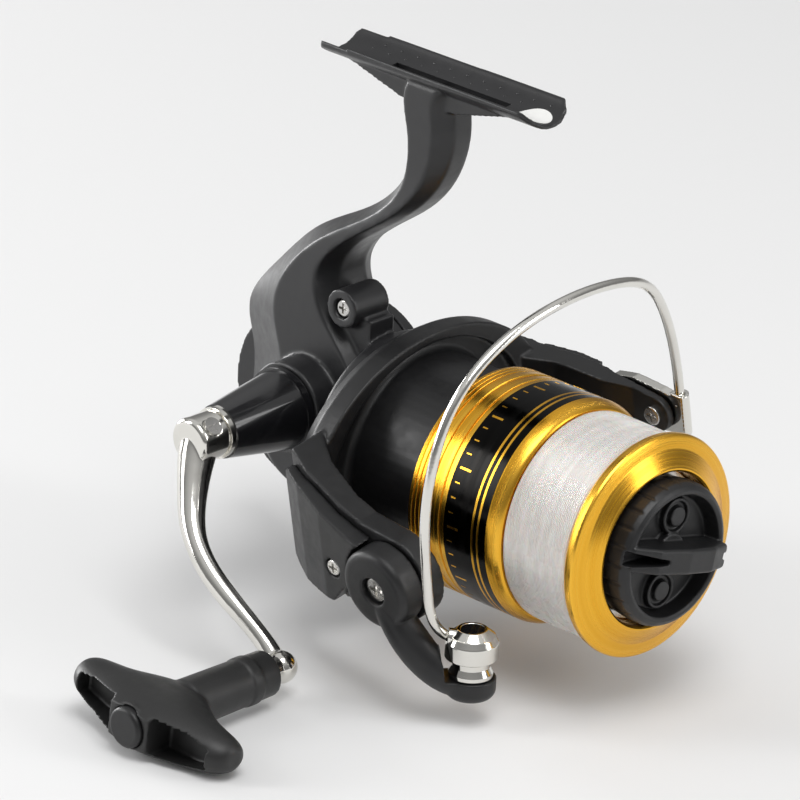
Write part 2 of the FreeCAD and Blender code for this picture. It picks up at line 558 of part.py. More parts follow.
def drag_knob():
    """Dial with a rim, a forked cross bar, and a ringed button in the hollow on each side of it."""
    dome = revolve_x([(-1.2, 9.5), (-1.2, 15.9), (2.0, KNOB_R), (5.4, KNOB_R), (6.6, 15.8), (7.2, 14.8),
                      (6.9, 13.9), (3.4, 13.0), (3.4, 4.6), (5.4, 4.6), (5.4, 0.0), (1.4, 0.0), (1.4, 9.5)])
    bar = prism_z([(3.0, -15.4), (7.6, -15.0), (10.4, -9.0), (11.4, 0), (11.2, 8.0), (9.0, 14.4), (3.0, 15.4)],
                  -2.9, 2.9)
    bar = bar.makeFillet(0.9, [e for e in bar.Edges if abs(e.Length - 5.8) > 0.01 and e.BoundBox.XMax > 6])
    shape = dome.fuse(bar)
    for side in (-1, 1):
        z = side * 8.4
        shape = shape.fuse(cyl_x(3.0, 5.0, 4.2, 0, z)).cut(cyl_x(4.0, 6.0, 3.4, 0, z).cut(bar))
        shape = shape.fuse(cyl_x(3.6, 5.4, 2.3, 0, z))
    fork = prism_x([(-16.0, -1.7), (-6.0, -0.5), (-6.0, 0.5), (-16.0, 1.7)], 4.6, 13.0)
    notch = box(5.5, 13.0, 13.2, 16.0, -0.8, 0.8)
    shape = shape.cut(fork).cut(notch)
    for k in range(24):
        groove = cyl_x(-3, 9, 0.55, 0, KNOB_R + 0.25)
        shape = shape.cut(turned(groove, k * 15.0 + 7.5))
    shape = shape.cut(cyl_x(0, 4.4, 3.9))
    return turned(shape, DIAL_TURN).removeSplitter()


# ---- crank and knob -----------------------------------------------------------------------------
def crank():
    hub = cyl_y(-47.0, -38.9, 5.4, HANDLE_X, HANDLE_Z)
    hub = hub.makeFillet(1.2, [e for e in hub.Edges if abs(e.BoundBox.YMax + 47.0) < 0.01 and e.Closed])
    limb = swept_loft([((-96.2, -42.0, 7.4), 4.2), ((-95.2, -45.0, 2.0), 4.2), ((-92.4, -48.6, -3.6), 3.5),
                       ((-89.0, -51.8, -8.8), 3.0), ((-84.4, -54.2, -13.2), 2.6), ((-72.0, -55.7, -21.4), 2.4),
                       ((-58.0, -56.0, -30.0), 2.3)])
    ball = Part.makeSphere(3.7, BALL)
    cheek = cyl_y(-60.0, -54.6, 3.2, BALL.x, BALL.z)
    shape = fuse([hub, limb, ball, cheek])
    shape = shape.cut(cyl_y(-44.5, -30, 2.6, HANDLE_X, HANDLE_Z))
    return shape.cut(pin_bore())


def pin_bore():
    """Hole for the hinge pin through the crank's hub and the shank."""
    bore = Part.makeCylinder(1.3, 20, V(0, 0, -10)).fuse(Part.makeCylinder(2.15, 8, V(0, 0, 4.85)))
    return aim(bore, CRANK_PIN_AT, CRANK_PIN_DIR)


CRANK_PIN_AT = V(HANDLE_X, -43.0, HANDLE_Z)
CRANK_PIN_DIR = V(0.684, 0, 0.73)


def crank_pin():
    shank = Part.makeCylinder(1.28, 10.6, V(0, 0, -5.6))
    head = Part.makeCylinder(2.1, 0.9, V(0, 0, 4.9))
    slot = Part.makeBox(0.6, 6, 0.6, V(-0.3, -3, 5.4))
    return aim(shank.fuse(head).cut(slot), CRANK_PIN_AT, CRANK_PIN_DIR)


def knob():
    """T-shaped grip: round neck, flared into a crossbar with a hollowed outer face."""
    rings = []
    for x, y, half_y, half_z in ((-23.6, -92.8, 1.4, 1.2), (-22.5, -92.8, 3.8, 3.2), (-18.6, -93.3, 5.6, 4.5),
                                 (-10.0, -93.8, 8.6, 5.8), (0.0, -93.0, 12.0, 6.4), (10.0, -93.8, 8.6, 5.8),
                                 (18.6, -93.3, 5.6, 4.5), (22.5, -92.8, 3.8, 3.2), (23.6, -92.8, 1.4, 1.2)):
        oval = Part.Ellipse(V(x, y + half_y, 0), V(x, y, half_z), V(x, y, 0))
        rings.append(Part.Wire(oval.toShape()))
    bar = Part.makeLoft(rings, True, False)
    face = cyl_y(-110, -50, 60, 0, 0).cut(Part.makeCylinder(62.0, 40, V(0, -102.0 + 62.0, -20), AZ))
    bar = bar.cut(face.common(box(-60, 60, -110, -88, -20, 20)))
    for side in (-1, 1):
        slot = prism_y([(side * 5.8, -4.5), (side * 14.0, -3.9), (side * 19.8, -2.5), (side * 19.8, 2.5),
                        (side * 14.0, 3.9), (side * 5.8, 4.5)], -110, -94.2)
        bar = bar.cut(slot)
    neck = Part.makeCone(5.2, 5.6, 24.0, V(0, -60.7, 0), V(0, -1, 0))
    band = cyl_y(-68.6, -66.0, 5.6)
    hub = cyl_y(-101.2, -84.0, 5.4)
    shape = fuse([bar, neck, band, hub])
    shape = shape.cut(cyl_y(-96.5, -55, 2.45)).cut(cyl_y(-104, -96.4, 4.7))
    shape = turned(shape, KNOB_TILT, AY)
    shape.translate(V(BALL.x, 0, BALL.z))
    return shape


# ---- assembly -------------------------------------------------------------------------------------
def build():
    parts = {}
    rotor_side = {}

    parts["body_frame"] = body_frame()
    parts["side_cover"] = side_cover()
    parts["cover_screws"] = Part.makeCompound(
        [screw_at(V(x, COVER_Y - 1.8, z), AY, 1.9, 1.1, 0.95, 1.6) for x, z in COVER_SCREWS])
    parts["frame_screw"] = screw_at(V(FIXING_X, -8.0, FIXING_Z), V(0, -1, 0), 2.0, 1.2, 1.1, 8.0)
    place = (HANDLE_X, HANDLE_Z)
    near_in, near_out = bearing(ring_y, -16.0, -12.0, 3.25, 6.45, place)
    far_in, far_out = bearing(ring_y, 8.0, 10.5, 3.25, 6.45, place)
    parts["crank_bearing_inner_near"] = near_in
    parts["crank_bearing_outer_near"] = near_out
    parts["crank_bearing_inner_far"] = far_in
    parts["crank_bearing_outer_far"] = far_out
    parts["pinion_bearing"] = ring_x(-76.1, -72.4, 3.45, 7.95)
    parts["roller_clutch"] = ring_x(-72.2, -63.4, 3.55, 7.95)
    parts["guide_rod"] = cyl_x(GUIDE_REAR_X + 0.1, -78.4, 1.15, 0, GUIDE_Z)
    parts["osc_gear_axle"] = cyl_y(-8.6, -3.4, 1.34, OSC_X, OSC_Z)

    parts["drive_gear"] = drive_gear()
    shank = fuse([cyl_y(-37.6, 9.4, 1.85, *place), cyl_y(-44.4, -37.6, 2.5, *place)])
    parts["handle_shank"] = shank.cut(pin_bore())
    cone = Part.makeCone(9.2, 6.2, 18.6, V(HANDLE_X, -18.9, HANDLE_Z), V(0, -1, 0))
    parts["handle_cone"] = cone.cut(cyl_y(-40, -10, 1.9, *place))
    parts["handle_collar"] = ring_y(-18.9, -17.3, 3.3, 9.7, *place)
    parts["handle_ring"] = ring_y(-38.9, -37.5, 2.55, 5.9, *place)
    cap = cyl_y(14.4, 18.2, 7.6, *place)
    cap = cap.makeFillet(1.4, [e for e in cap.Edges if abs(e.BoundBox.YMin - 18.2) < 0.01 and e.Closed])
    parts["handle_screw_cap"] = cap.fuse(cyl_y(11.2, 14.4, 3.1, *place)).fuse(cyl_y(9.5, 11.2, 1.85, *place))
    parts["crank_arm"] = crank()
    parts["crank_pin"] = crank_pin()
    parts["knob_axle"] = fuse([cyl_y(-96.0, -60.0, 2.2, BALL.x, BALL.z), cyl_y(-98.4, -96.8, 3.6, BALL.x, BALL.z),
                               cyl_y(-97.0, -95.9, 2.2, BALL.x, BALL.z)])
    parts["knob"] = knob()
    button = cyl_y(-103.0, -100.4, 4.65, BALL.x, BALL.z)
    parts["knob_cap"] = button.makeFillet(1.0, [e for e in button.Edges
                                                if abs(e.BoundBox.YMax + 103.0) < 0.01 and e.Closed])
    parts["osc_gear"] = osc_gear()
    parts["pinion"] = pinion()
    rotor_side["rotor"] = rotor()
    parts["rotor_nut"] = aim(spur(6, 5.2, 5.21, 5.2, 5.2, 2.6), V(-54.4, 0, 0), AX).cut(cyl_x(-56, -50, 2.75))
    rotor_side["near_arm_cover"] = near_cover()
    rotor_side["near_cover_screw"] = screw_at(*COVER_FIXINGS[0], shank_l=4.4)
    rotor_side["far_arm_cover"] = far_cover()
    rotor_side["far_cover_screw"] = screw_at(*COVER_FIXINGS[1], shank_l=4.4)
    rotor_side["bail_spring"] = bail_spring()
    rotor_side["bail_spring_guide"] = cyl_x(SPRING_X0 + 0.1, SPRING_X1 - 0.1, 0.75, SPRING_W, SPRING_H)
    rotor_side["near_pivot_screw"] = aim(screw(3.0, 1.3, 1.45, 3.6).fuse(
        Part.makeCylinder(0.98, 8.0, V(0, 0, -8.0))), V(PIVOT_X, HUB_FLOOR - 0.3, 0), V(0, -1, 0))
    rotor_side["far_pivot_screw"] = fuse([screw_at(V(PIVOT_X, FAR_IN, 0), V(0, -1, 0), 2.3, 1.0, 0.98, 2.4),
                                          cyl_y(FAR_OUT + 0.1, FAR_OUT + 2.6, 1.4, PIVOT_X, 0)])
    rotor_side["bail_arm"] = bail_arm()
    rotor_side["bail_wire"] = bail_wire()
    rotor_side["roller_cap"] = roller_cap()
    rotor_side["roller_cap_badge"] = roller_disc(5.7, 6.1, 2.58)
    rotor_side["roller_axle"] = roller_disc(-8.9, 4.85, 1.52)
    rotor_side["far_bail_holder"] = far_holder()
    groove = [roller_disc(-4.6, -3.8, 4.9), roller_disc(-3.8, -2.4, 4.9, 4.2), roller_disc(-2.4, -1.2, 4.2),
              roller_disc(-1.2, 0.2, 4.2, 4.9), roller_disc(0.2, 2.4, 4.9)]
    rotor_side["line_roller"] = fuse(groove).cut(roller_disc(-6, 4, 1.6))

    parts["main_shaft"] = cyl_x(SLIDER_X - 2.6, 4.1, SHAFT_R)
    parts["slider"] = slider()
    parts["slider_screw"] = screw_at(V(SLIDER_X, -2.0, 0), V(0, -1, 0), 1.3, 0.5, 0.6, 0.3)
    parts["spool_seat"] = ring_x(-30.6, -27.8, SHAFT_R, 6.4)
    parts["click_gear"] = aim(spur(18, 6.6, 7.4, 1.5, 0.7, 1.2), V(-32.0, 0, 0), AX).cut(cyl_x(-40, -20, SHAFT_R))
    parts["spool"] = spool()
    parts["spool_bushing"] = ring_x(-27.4, -9.2, SHAFT_BORE_R, SPOOL_BORE_R - 0.05)
    parts["spool_band"] = spool_band()
    parts["spool_stripes"] = Part.makeCompound([stripe(x) for x in STRIPES])
    parts["line_fill"] = line_fill()
    parts["drag_washers_felt"] = Part.makeCompound([ring_x(x, x + 0.8, 3.0, 14.4) for x in (-8.9, -6.9, -4.9)])
    parts["drag_washers_steel"] = Part.makeCompound([lugged_washer(x, x + 1.0, 2.6, 14.6, 4)
                                                     for x in (-8.0, -6.0, -4.0)])
    parts["drag_retaining_ring"] = ring_x(-2.9, -2.2, 15.0, 16.95).cut(box(-4, 0, -1.6, 1.6, 10, 18))
    parts["drag_spring"] = drag_spring()
    parts["drag_nut"] = aim(spur(6, 3.7, 3.71, 3.7, 3.7, 2.8), V(1.5, 0, 0), AX).cut(cyl_x(0, 8, SHAFT_BORE_R))
    parts["drag_knob"] = drag_knob()
    for name, shape in rotor_side.items():
        parts[name] = turned(shape, ROTOR_TURN)
    return parts


def slider():
    block = box(SLIDER_X - 2.4, SLIDER_X + 2.4, -2.6, 2.05, -9.4, 2.4)
    cuts = [cyl_x(-110, -90, SHAFT_R), cyl_x(-110, -90, 1.2, 0, GUIDE_Z),
            box(SLIDER_X - 1.5, SLIDER_X + 1.5, -3, -1.75, -12, -1.9)]
    for cut in cuts:
        block = block.cut(cut)
    return block.cut(cyl_y(-3, -1.6, 1.4, SLIDER_X, 0))


def drag_spring():
    helix = Part.makeLongHelix(1.2, 2.6, 5.2, 0)
    coil = Part.Wire(helix).makePipeShell([circle_wire(V(5.2, 0, 0), V(0, 1, 0.05), 0.45)], True, True)
    coil.rotate(ORIGIN, AY, 90)
    coil.translate(V(-2.2, 0, 0))
    return coil


def export(parts):
    os.makedirs("parts", exist_ok=True)
    for name, shape in parts.items():
        placed = shape.copy()
        placed.translate(SHIFT)
        placed.exportStep("parts/" + name + ".step")


export(build())
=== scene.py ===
"""Looks of a front-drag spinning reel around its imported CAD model, in metres."""

import json
import math
import random

import bmesh
import bpy
from mathutils import Matrix, Vector


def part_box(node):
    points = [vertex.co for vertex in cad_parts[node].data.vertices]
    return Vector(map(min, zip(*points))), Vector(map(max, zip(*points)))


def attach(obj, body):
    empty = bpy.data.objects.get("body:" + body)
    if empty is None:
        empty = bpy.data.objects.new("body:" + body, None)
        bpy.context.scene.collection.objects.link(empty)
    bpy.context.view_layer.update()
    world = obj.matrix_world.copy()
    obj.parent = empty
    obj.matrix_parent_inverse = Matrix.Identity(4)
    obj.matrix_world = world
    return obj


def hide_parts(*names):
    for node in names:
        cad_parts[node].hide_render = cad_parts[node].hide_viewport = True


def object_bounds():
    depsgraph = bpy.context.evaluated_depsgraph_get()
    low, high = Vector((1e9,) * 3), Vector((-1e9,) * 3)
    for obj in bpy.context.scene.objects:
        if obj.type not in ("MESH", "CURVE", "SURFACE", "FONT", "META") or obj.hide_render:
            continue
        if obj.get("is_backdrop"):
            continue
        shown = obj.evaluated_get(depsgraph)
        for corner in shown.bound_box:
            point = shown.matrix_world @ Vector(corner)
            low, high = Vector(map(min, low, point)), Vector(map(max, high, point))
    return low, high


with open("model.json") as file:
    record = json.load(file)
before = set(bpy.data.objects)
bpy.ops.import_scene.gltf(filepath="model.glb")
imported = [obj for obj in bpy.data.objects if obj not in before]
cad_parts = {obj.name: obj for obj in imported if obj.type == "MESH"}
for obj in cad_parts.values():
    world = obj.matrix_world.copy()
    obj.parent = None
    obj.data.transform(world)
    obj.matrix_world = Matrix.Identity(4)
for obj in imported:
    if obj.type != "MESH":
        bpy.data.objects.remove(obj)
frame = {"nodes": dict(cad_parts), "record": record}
CAD_LO, CAD_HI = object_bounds()
NODES = frame["nodes"]
MM = 0.001

# ---- places read from the frame ---------------------------------------------------------------
SHAFT_LO, SHAFT_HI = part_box("main_shaft")
AXIS_Z = (SHAFT_LO.z + SHAFT_HI.z) / 2          # height of the main shaft
SPOOL_LO, SPOOL_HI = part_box("spool")
LIP_RISE = 2.3                                  # how far the lip's face stands ahead of its edge, in mm
LIP_X = SPOOL_HI.x - LIP_RISE * MM              # outer edge of the spool's front lip


def at_spool(x, r=0.0, angle=0.0):
    """Point at x mm ahead of the lip, r mm from the shaft's axis, angle from +Y towards +Z."""
    return Vector((LIP_X + x * MM, r * MM * math.cos(angle), AXIS_Z + r * MM * math.sin(angle)))


# ---- materials --------------------------------------------------------------------------------
class Shader:
    """A Principled material with short calls for its procedural nodes."""

    def __init__(self, name, color, rough, metal=0.0, **sockets):
        self.mat = bpy.data.materials.new(name)
        self.mat.use_nodes = True
        self.tree = self.mat.node_tree
        self.bsdf = self.tree.nodes["Principled BSDF"]
        self.bsdf.inputs["Base Color"].default_value = (*color, 1.0)
        self.bsdf.inputs["Roughness"].default_value = rough
        self.bsdf.inputs["Metallic"].default_value = metal
        for key, value in sockets.items():
            self.bsdf.inputs[key.replace("_", " ")].default_value = value
        self.coords = self.tree.nodes.new("ShaderNodeTexCoord").outputs["Object"]

    def node(self, kind, **inputs):
        made = self.tree.nodes.new(kind)
        for key, value in inputs.items():
            self.feed(made.inputs[key.replace("_", " ")], value)
        return made

    def feed(self, socket, value):
        if isinstance(value, bpy.types.NodeSocket):
            self.tree.links.new(value, socket)
        else:
            socket.default_value = value

    def math(self, operation, a, b=0.0):
        made = self.tree.nodes.new("ShaderNodeMath")
        made.operation = operation
        self.feed(made.inputs[0], a)
        self.feed(made.inputs[1], b)
        return made.outputs[0]

    def noise(self, scale, detail=3.0, vector=None, rough=0.5):
        made = self.node("ShaderNodeTexNoise", Vector=vector or self.coords, Scale=scale, Detail=detail,
                         Roughness=rough)
        return made.outputs["Fac"]

    def spread(self, value, low, high):
        made = self.node("ShaderNodeMapRange", Value=value)
        made.inputs["From Min"].default_value = 0.3
        made.inputs["From Max"].default_value = 0.7
        made.inputs["To Min"].default_value = low
        made.inputs["To Max"].default_value = high
        return made.outputs["Result"]

    def blend(self, factor, first, second):
        made = self.tree.nodes.new("ShaderNodeMix")
        made.data_type = "RGBA"
        self.feed(made.inputs[0], factor)
        made.inputs[6].default_value = (*first, 1.0)
        made.inputs[7].default_value = (*second, 1.0)
        return made.outputs[2]

    def roughness(self, value, low, high):
        self.tree.links.new(self.spread(value, low, high), self.bsdf.inputs["Roughness"])

    def color(self, value, first, second):
        self.tree.links.new(self.blend(value, first, second), self.bsdf.inputs["Base Color"])

    def bump(self, height, strength, distance):
        made = self.node("ShaderNodeBump", Height=height, Strength=strength, Distance=distance)
        self.tree.links.new(made.outputs["Normal"], self.bsdf.inputs["Normal"])

    def turned(self):
        """Vector of (X, radius off the shaft's axis), the split coordinates, height off the axis."""
        split = self.node("ShaderNodeSeparateXYZ", Vector=self.coords)
        up = self.math("SUBTRACT", split.outputs["Z"], AXIS_Z)
        square = self.math("ADD", self.math("MULTIPLY", split.outputs["Y"], split.outputs["Y"]),
                           self.math("MULTIPLY", up, up))
        radius = self.math("SQRT", square)
        return self.node("ShaderNodeCombineXYZ", X=split.outputs["X"], Y=radius).outputs[0], split, up


def paint(name, color, rough, grain, grain_depth, coat=0.0):
    """Moulded or painted black: fine grain, uneven sheen and faint cloudiness."""
    s = Shader(name, color, rough, Coat_Weight=coat, Coat_Roughness=0.25)
    cloud = s.noise(90.0, 4.0)
    s.roughness(s.noise(400.0, 5.0), rough - 0.05, rough + 0.06)
    s.color(s.spread(cloud, 0.0, 1.0), color, tuple(c * 1.35 for c in color))
    s.bump(s.noise(grain, 2.0), grain_depth, 0.0001)
    return s.mat


def metal(name, color, rough, scratch=900.0, depth=0.05, warm=0.9):
    """Bare metal with fine scratches and smudged gloss."""
    s = Shader(name, color, rough, 1.0)
    s.roughness(s.noise(250.0, 6.0), max(rough - 0.04, 0.02), rough + 0.07)
    s.color(s.spread(s.noise(60.0), 0.0, 1.0), color, tuple(c * warm for c in color))
    s.bump(s.noise(scratch, 4.0, rough=0.7), depth, 0.00005)
    return s.mat


def turned_metal(name, color, deep, rough, grooves, depth):
    """Anodised metal with the fine rings that a lathe leaves."""
    s = Shader(name, color, rough, 1.0)
    vector, _, _ = s.turned()
    rings = s.noise(grooves, 3.0, vector, 0.6)
    s.roughness(s.noise(grooves * 0.4, 2.0, vector), rough - 0.05, rough + 0.08)
    s.color(s.spread(s.noise(grooves * 0.15, 2.0, vector), 0.0, 1.0), color, deep)
    s.bump(rings, depth, 0.00008)
    return s.mat


def wound_line(name):
    """Clear nylon laid in close turns that cross at a small angle."""
    phase_per_m = 13000.0       # how fast the close turns repeat along X, in radians to the metre
    s = Shader(name, (0.84, 0.82, 0.79), 0.3, Subsurface_Weight=0.25, Subsurface_Scale=0.0015)
    _, split, up = s.turned()
    angle = s.math("ARCTAN2", up, split.outputs["Y"])
    drift = s.math("MULTIPLY", s.noise(45.0, 2.0), 16.0)
    along = s.math("ADD", s.math("MULTIPLY", split.outputs["X"], phase_per_m), drift)
    first = s.math("SINE", s.math("ADD", along, s.math("MULTIPLY", angle, 3.0)))
    second = s.math("SINE", s.math("ADD", along, s.math("MULTIPLY", angle, -4.0)))
    pick = s.spread(s.noise(60.0, 3.0), 0.0, 1.0)
    other = s.math("SUBTRACT", 1.0, pick)
    lay = s.math("ADD", s.math("MULTIPLY", first, pick), s.math("MULTIPLY", second, other))
    s.bump(lay, 0.9, 0.00012)
    s.roughness(s.noise(300.0, 4.0), 0.18, 0.40)
    bands = s.node("ShaderNodeCombineXYZ", X=s.math("MULTIPLY", split.outputs["X"], 420.0),
                   Y=s.math("MULTIPLY", angle, 1.2)).outputs[0]
    streak = s.node("ShaderNodeTexNoise", Vector=bands, Scale=1.0, Detail=5.0, Roughness=0.65).outputs["Fac"]
    s.color(s.spread(streak, 0.0, 1.0), (0.86, 0.84, 0.81), (0.66, 0.62, 0.59))
    return s.mat


def felt(name):
    """Oiled felt of the drag's soft washers."""
    s = Shader(name, (0.42, 0.39, 0.33), 0.9, Sheen_Weight=0.4)
    s.color(s.noise(700.0, 5.0), (0.34, 0.31, 0.26), (0.52, 0.49, 0.42))
    s.bump(s.noise(1500.0, 5.0), 0.6, 0.0003)
    return s.mat


def label_paper(name):
    """Plain white sticker paper."""
    s = Shader(name, (0.80, 0.80, 0.78), 0.45)
    s.color(s.noise(600.0, 4.0), (0.78, 0.78, 0.76), (0.86, 0.86, 0.84))
    s.bump(s.noise(1800.0, 3.0), 0.1, 0.00005)
    return s.mat


LOOKS = {
    "body_black": paint("satin_black_paint", (0.011, 0.011, 0.012), 0.40, 5200.0, 0.10, 0.10),
    "plastic_black": paint("moulded_black", (0.007, 0.007, 0.0075), 0.42, 6500.0, 0.14),
    "gloss_black": paint("gloss_black", (0.006, 0.006, 0.007), 0.10, 1500.0, 0.01, 0.6),
    "grip_rubber": paint("grip_black", (0.012, 0.012, 0.012), 0.44, 5000.0, 0.16),
    "band_black": turned_metal("band_black", (0.012, 0.011, 0.010), (0.007, 0.007, 0.007), 0.17,
                               2200.0, 0.04),
    "spool_gold": turned_metal("anodised_gold", (0.93, 0.52, 0.060), (0.80, 0.40, 0.030), 0.24, 3600.0, 0.30),
    "chrome": metal("polished_nickel", (0.80, 0.785, 0.74), 0.10),
    "steel": metal("screw_steel", (0.62, 0.61, 0.59), 0.22),
    "brass": metal("turned_brass", (0.72, 0.52, 0.22), 0.25),
    "zinc": metal("cast_zinc", (0.50, 0.50, 0.51), 0.38, 1600.0, 0.3),
    "line": wound_line("wound_nylon"),
    "felt": felt("oiled_felt"),
    "paper": label_paper("label_paper"),
}


def finish_with(obj, look):
    """Give an object one of the looks."""
    obj.data.materials.clear()
    obj.data.materials.append(LOOKS[look])


# ---- mesh helpers -----------------------------------------------------------------------------
def new_piece(name, bm, look, body, smooth_angle=35.0):
    """Turn bm into a finished piece that rides on a body."""
    mesh = bpy.data.meshes.new(name)
    bmesh.ops.recalc_face_normals(bm, faces=bm.faces)
    bm.to_mesh(mesh)
    bm.free()
    obj = bpy.data.objects.new(name, mesh)
    bpy.context.scene.collection.objects.link(obj)
    mesh.shade_smooth()
    mesh.set_sharp_from_angle(angle=math.radians(smooth_angle))
    finish_with(obj, look)
    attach(obj, body)
    return obj


def lathe(profile, steps=192, wobble=None):
    """Closed surface of revolution about the shaft's axis from (x, r) in mm ahead of the lip."""
    bm = bmesh.new()
    rings = []
    for k in range(steps):
        angle = 2 * math.pi * k / steps
        rise = (lambda x: wobble(x, angle)) if wobble else (lambda x: 0.0)
        rings.append([bm.verts.new(at_spool(x, r + rise(x), angle)) for x, r in profile])
    for k in range(steps):
        here, there = rings[k], rings[(k + 1) % steps]
        for i in range(len(profile)):
            j = (i + 1) % len(profile)
            bm.faces.new((here[i], here[j], there[j], there[i]))
    return bm


# ---- spool ------------------------------------------------------------------------------------
SKIRT_R, SKIRT_REAR = 25.85, -48.7
BAND_REAR, BAND_FRONT, BAND_DEPTH = -37.6, -25.4, 0.4
ARBOR_R, LINE_R = 17.0, 24.3
ARBOR_REAR, ARBOR_FRONT = -21.9, -3.2
HUB_REAR, HUB_R, HUB_BORE_R = -27.5, 7.5, 4.05
GROOVE_DEPTH, GROOVE_SLOPE = 0.28, 0.12
GROOVES = ((-47.6, 0.45), (-46.4, 0.45), (-45.2, 0.45), (-42.6, 1.3), (-39.4, 0.5))   # start and width


def spool():
    """Turned spool: grooved skirt with a band let in, arbor, dished front lip and hollow rear."""
    skirt = [(SKIRT_REAR, SKIRT_R - 1.1), (SKIRT_REAR, SKIRT_R - 0.35), (SKIRT_REAR + 0.25, SKIRT_R - 0.1)]
    for start, width in GROOVES:
        skirt += [(start, SKIRT_R), (start + GROOVE_SLOPE, SKIRT_R - GROOVE_DEPTH),
                  (start + width, SKIRT_R - GROOVE_DEPTH), (start + width + GROOVE_SLOPE, SKIRT_R)]
    skirt += [(BAND_REAR - 0.1, SKIRT_R), (BAND_REAR, SKIRT_R - BAND_DEPTH),
              (BAND_FRONT, SKIRT_R - BAND_DEPTH), (BAND_FRONT + 0.1, SKIRT_R),
              (-24.6, SKIRT_R - 0.1), (-22.8, 25.0), (-22.2, 24.6), (-21.95, 24.2)]
    arbor = [(ARBOR_REAR, ARBOR_R), (ARBOR_FRONT, ARBOR_R)]
    lip = [(ARBOR_FRONT, 24.0), (-2.9, 24.7), (-2.2, 25.25), (-1.2, 25.48), (-0.5, 25.45), (-0.1, 25.2),
           (0.12, 24.8), (0.35, 22.4), (0.5, 22.05), (0.85, 21.7), (2.0, 18.8), (2.25, 18.4), (2.28, 18.05),
           (1.9, 17.6), (1.4, 17.4)]
    inside = [(-9.0, 17.0), (-9.0, HUB_BORE_R), (HUB_REAR, HUB_BORE_R), (HUB_REAR, HUB_R), (-24.7, HUB_R),
              (-24.7, 23.3), (-26.4, SKIRT_R - 1.4)]
    obj = new_piece("spool_turned", lathe(skirt + arbor + lip + inside), "spool_gold", "spool_drum", 25.0)
    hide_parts("spool")


LINE_REAR, LINE_FRONT, LINE_STEPS = -21.8, -3.35, 60
WAVE_HEIGHT = 0.025         # half height of one of the waves that the line is laid in


def line_winding():
    """Wound line, a little uneven and rounded off beside both flanges."""
    waves = [(random.uniform(0.4, 1.1), random.randint(1, 3), random.uniform(0, 6.28)) for _ in range(5)]

    def wobble(x, angle):
        return WAVE_HEIGHT * sum(math.sin(x * fx + turns * angle + start) for fx, turns, start in waves)

    xs = [LINE_REAR + (LINE_FRONT - LINE_REAR) * k / LINE_STEPS for k in range(LINE_STEPS + 1)]
    outer = [(x, LINE_R - 0.12 - 0.5 * math.exp(-min(x - LINE_REAR, LINE_FRONT - x) / 0.35)) for x in xs]
    inner_r = ARBOR_R + 0.02
    bm = lathe([(LINE_REAR, inner_r)] + outer + [(LINE_FRONT, inner_r)], wobble=wobble)
    obj = new_piece("line_winding", bm, "line", "spool_drum", 40.0)
    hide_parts("line_fill")


MARKS, MARKS_PER_LONG = 48, 4
MARK_REAR, MARK_FRONT, LONG_MARK_FRONT = -36.6, -35.2, -33.4
MARK_HALF_ANGLE, LONG_MARK_HALF_ANGLE = 0.006, 0.010


def band_marks():
    """Plain gold dashes let into the band."""
    bm = bmesh.new()
    r0, r1 = SKIRT_R - 0.05, SKIRT_R + 0.03
    for k in range(MARKS):
        long = k % MARKS_PER_LONG == 0
        x0, x1 = MARK_REAR, (LONG_MARK_FRONT if long else MARK_FRONT)
        mid, half = 2 * math.pi * k / MARKS, (LONG_MARK_HALF_ANGLE if long else MARK_HALF_ANGLE)
        corners = []
        for r in (r0, r1):
            for x, side in ((x0, -1), (x1, -1), (x1, 1), (x0, 1)):
                corners.append(bm.verts.new(at_spool(x, r, mid + side * half)))
        low, high = corners[:4], corners[4:]
        bm.faces.new(low[::-1])
        bm.faces.new(high)
        for i in range(4):
            j = (i + 1) % 4
            bm.faces.new((low[i], low[j], high[j], high[i]))
    new_piece("band_marks", bm, "spool_gold", "spool_drum")


random.seed(7)
spool()
line_winding()
band_marks()


# ---- foot details -----------------------------------------------------------------------------
SADDLE_R = 8.0
PIPS, PIP_PITCH, PIP_REAR = 11, 5.0, -30.0
PIP_ROWS = ((3.5, 0.0), (4.9, 2.5))             # distance from the middle, shift along the foot
PIP_R, PIP_HEIGHT = 0.32, 0.14
LABEL_X, LABEL_HALF_LENGTH, LABEL_HALF_WIDTH = 22.0, 4.3, 3.6
LABEL_LIFTS = (0.03, 0.12)                      # its two faces above the saddle
FOOT_HOLLOWS = ((-21.0, 13.5, 1.9, -9.0), (-7.5, -5.0, 1.85, -10.4))   # x0, x1, half width, floor
HOLLOW_CUT_HEIGHT = 4.0


def on_saddle(x, y, lift=0.0):
    """Point on the foot's upper face, lift mm above it."""
    r = SADDLE_R - lift
    return Vector((x, y, -math.sqrt(r * r - y * y))) * MM


def foot_pips():
    """Rows of small raised pips that grip the rod."""
    bm = bmesh.new()
    for side in (-1, 1):
        for k in range(PIPS):
            for row, shift in PIP_ROWS:
                centre = on_saddle(PIP_REAR + k * PIP_PITCH + shift, side * row)
                out = Vector((0, -centre.y, -centre.z)).normalized()
                place = Matrix.Translation(centre) @ out.to_track_quat("Z", "Y").to_matrix().to_4x4()
                place = place @ Matrix.Diagonal((PIP_R * MM, PIP_R * MM, PIP_HEIGHT * MM, 1.0))
                bmesh.ops.create_uvsphere(bm, u_segments=12, v_segments=6, radius=1.0, matrix=place)
    new_piece("foot_pips", bm, "body_black", "housing", 60.0)


